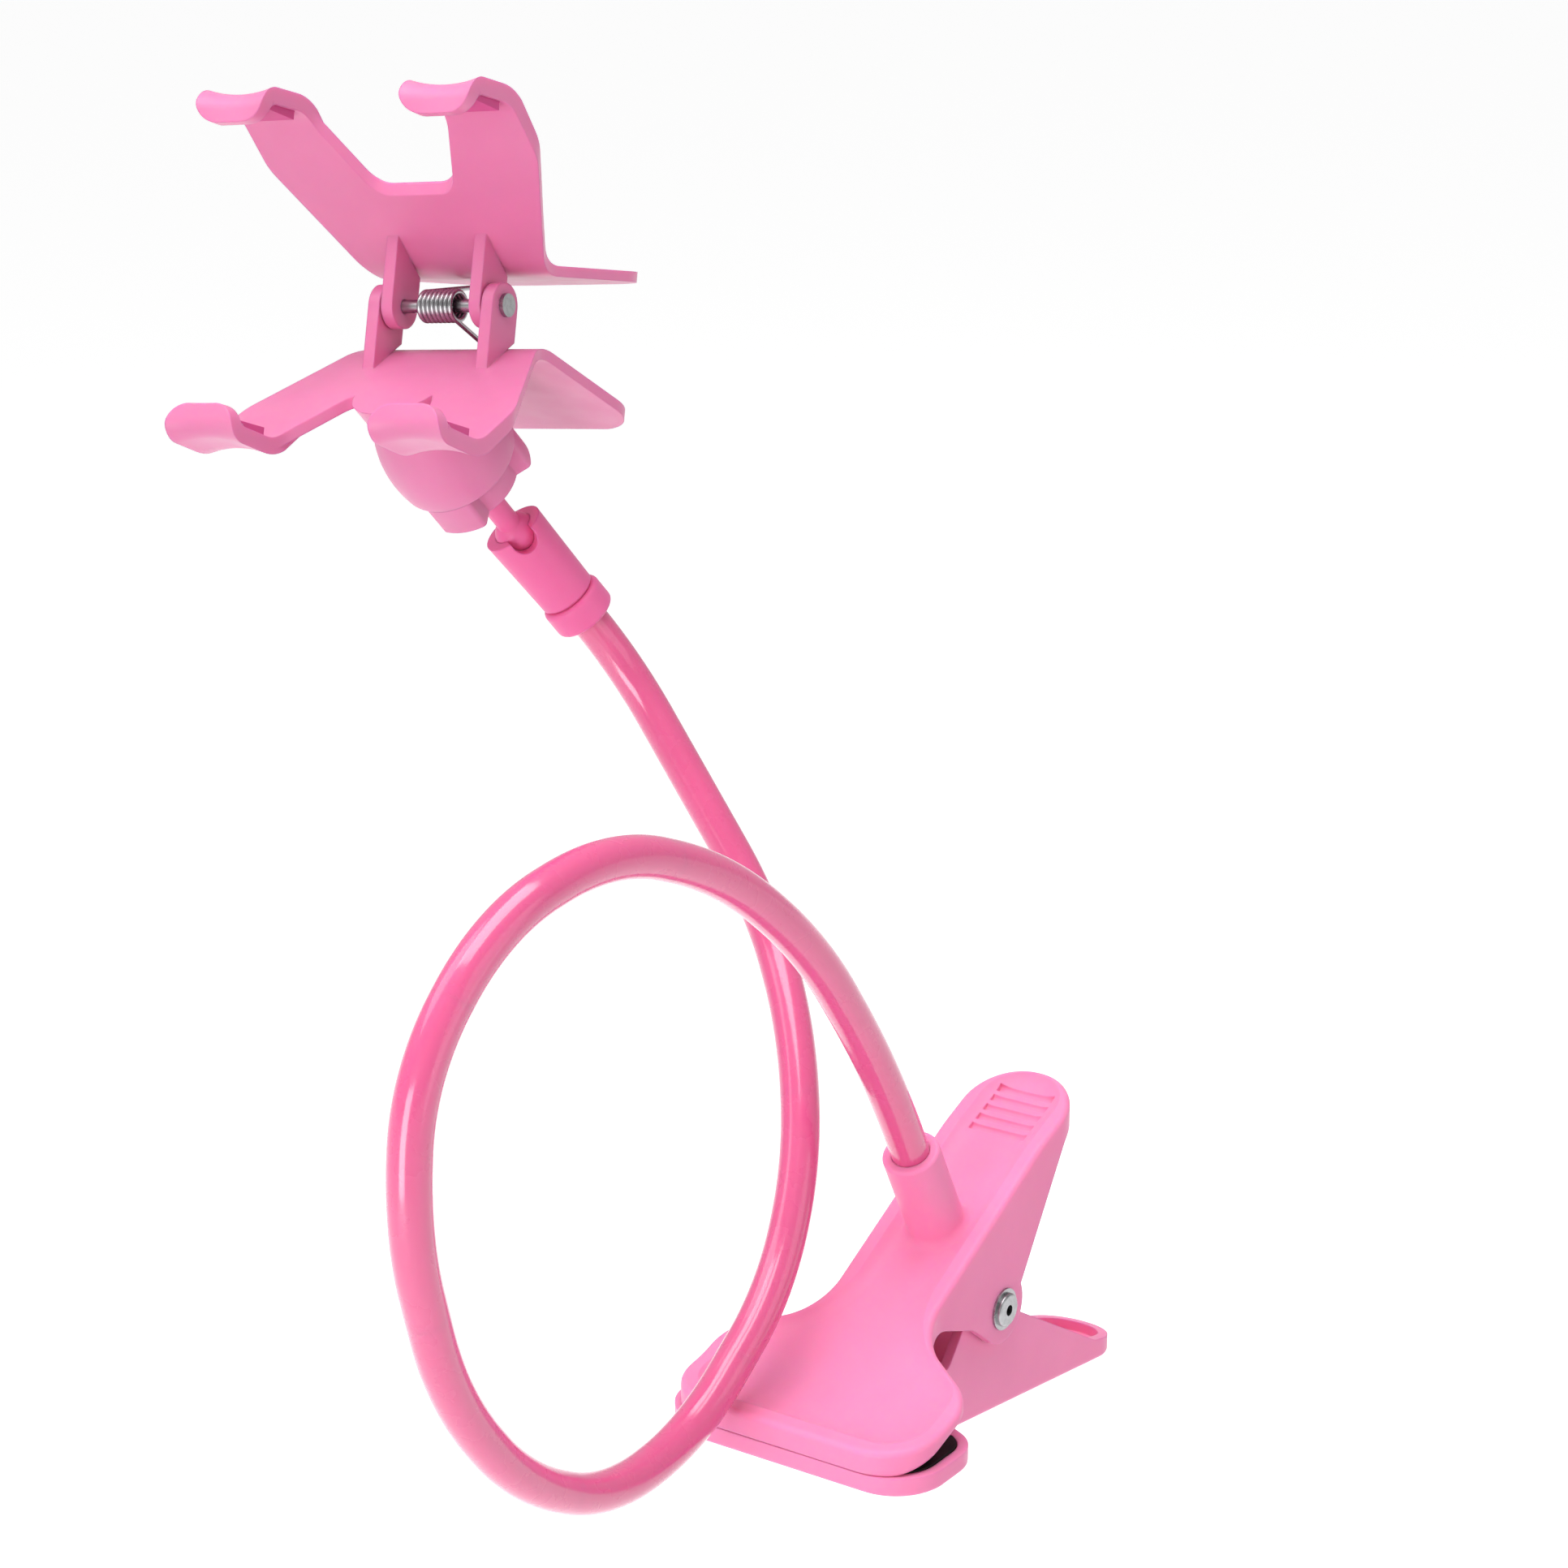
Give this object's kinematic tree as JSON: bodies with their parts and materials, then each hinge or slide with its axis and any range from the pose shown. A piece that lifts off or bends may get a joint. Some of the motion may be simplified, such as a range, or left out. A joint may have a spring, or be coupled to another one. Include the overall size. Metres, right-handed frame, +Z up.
{
  "type": "phone gooseneck holder",
  "caption": "Phone holder: a spring clamp carries a bendable arm in one loop, with a ball joint, a lock ring and a clip whose claws grip a phone by its long edges.",
  "frame": {"origin": "middle of the clamp jaws' front edge, on the plane where the two jaws meet", "axes": "+X along the clamp's pivot pin, +Y from the jaw tips to the handles, +Z up"},
  "size_m": [0.1818, 0.2484, 0.3192],
  "materials": {
    "pink_plastic": "smooth moulded pink plastic with a soft sheen",
    "sleeve_pink": "smooth glossy pink sleeve",
    "black_pad": "matt black grip rubber",
    "claw_pad": "dark soft rubber",
    "rivet_steel": "bright steel",
    "spring_steel": "drawn spring wire",
    "core_alloy": "soft alloy core"
  },
  "bodies": {
    "base": {"upper_jaw": "pink_plastic", "upper_jaw_pad": "black_pad", "pivot_rivet": "rivet_steel", "washer_left": "rivet_steel", "washer_right": "rivet_steel", "clamp_spring": "spring_steel", "gooseneck_sleeve": "sleeve_pink", "core_link_0": "core_alloy"},
    "lower_lever": {"lower_jaw": "pink_plastic", "lower_jaw_pad": "black_pad"},
    "neck_1": {"core_link_1": "core_alloy"},
    "neck_2": {"core_link_2": "core_alloy"},
    "neck_3": {"core_link_3": "core_alloy"},
    "neck_4": {"core_link_4": "core_alloy"},
    "neck_5": {"core_link_5": "core_alloy"},
    "neck_6": {"core_link_6": "core_alloy"},
    "neck_7": {"core_link_7": "core_alloy", "tube_collar": "pink_plastic", "ball_socket": "pink_plastic"},
    "stud": {"ball_stud": "pink_plastic"},
    "clip_lower": {"clip_lower_jaw": "pink_plastic", "clip_pin": "rivet_steel", "clip_spring": "spring_steel", "lower_claw_pad_left": "claw_pad", "lower_claw_pad_right": "claw_pad"},
    "lock_ring": {"lock_ring": "pink_plastic"},
    "clip_upper": {"clip_upper_jaw": "pink_plastic", "upper_claw_pad_left": "claw_pad", "upper_claw_pad_right": "claw_pad"}
  },
  "joints": [
    {"name": "clamp_hinge", "type": "hinge", "parent": "base", "child": "lower_lever", "pos_m": [0, 0.072, 0.009], "axis": [1, 0, 0], "range_deg": [0, 40], "stiffness_Nm_per_rad": 1.2, "springref_deg": -28.65, "deforming": ["clamp_spring"]},
    {"name": "neck_bend_1", "type": "hinge", "parent": "base", "child": "neck_1", "pos_m": [-0.0015, -0.002, 0.125], "axis": [0.9967, -0.0616, 0.0528], "range_deg": [-20, 2], "deforming": ["gooseneck_sleeve"]},
    {"name": "neck_bend_2", "type": "hinge", "parent": "neck_1", "child": "neck_2", "pos_m": [-0.006, -0.0685, 0.148], "axis": [0.9984, -0.0554, -0.0095], "range_deg": [-22, 3], "deforming": ["gooseneck_sleeve"]},
    {"name": "neck_bend_3", "type": "hinge", "parent": "neck_2", "child": "neck_3", "pos_m": [-0.01, -0.1085, 0.104], "axis": [1, 0, 0], "range_deg": [-2, 22], "deforming": ["gooseneck_sleeve"]},
    {"name": "neck_bend_4", "type": "hinge", "parent": "neck_3", "child": "neck_4", "pos_m": [-0.012, -0.086, 0.034], "axis": [1, 0, 0], "range_deg": [-2, 20], "deforming": ["gooseneck_sleeve"]},
    {"name": "neck_bend_5", "type": "hinge", "parent": "neck_4", "child": "neck_5", "pos_m": [-0.0125, -0.03, 0.005], "axis": [0.9995, 0.0311, 0.0019], "range_deg": [-5, 15], "deforming": ["gooseneck_sleeve"]},
    {"name": "neck_bend_6", "type": "hinge", "parent": "neck_5", "child": "neck_6", "pos_m": [-0.0165, 0.028, 0.039], "axis": [0.9864, 0.0986, 0.1315], "range_deg": [-25, 20], "deforming": ["gooseneck_sleeve"]},
    {"name": "neck_bend_7", "type": "hinge", "parent": "neck_6", "child": "neck_7", "pos_m": [-0.0405, 0.059, 0.086], "axis": [0.8082, 0.3162, 0.4968], "range_deg": [-25, 20], "deforming": ["gooseneck_sleeve"]},
    {"name": "ball_tilt", "type": "hinge", "parent": "neck_7", "child": "stud", "pos_m": [-0.1067, 0.04798, 0.18249], "axis": [-0.4959, -0.616, -0.6121], "range_deg": [-60, 50]},
    {"name": "clip_swivel", "type": "hinge", "parent": "stud", "child": "clip_lower", "pos_m": [-0.1067, 0.04798, 0.18249], "axis": [-0.0127, 0.7099, -0.7042], "continuous": true},
    {"name": "ring_turn", "type": "hinge", "parent": "clip_lower", "child": "lock_ring", "pos_m": [-0.10632, 0.0269, 0.2034], "axis": [-0.0127, 0.7099, -0.7042], "continuous": true},
    {"name": "clip_hinge", "type": "hinge", "parent": "clip_lower", "child": "clip_upper", "pos_m": [-0.10948, 0.02699, 0.23777], "axis": [0.9901, 0.1076, 0.0906], "range_deg": [-20, 24], "stiffness_Nm_per_rad": 0.6, "deforming": ["clip_spring"]}
  ]
}
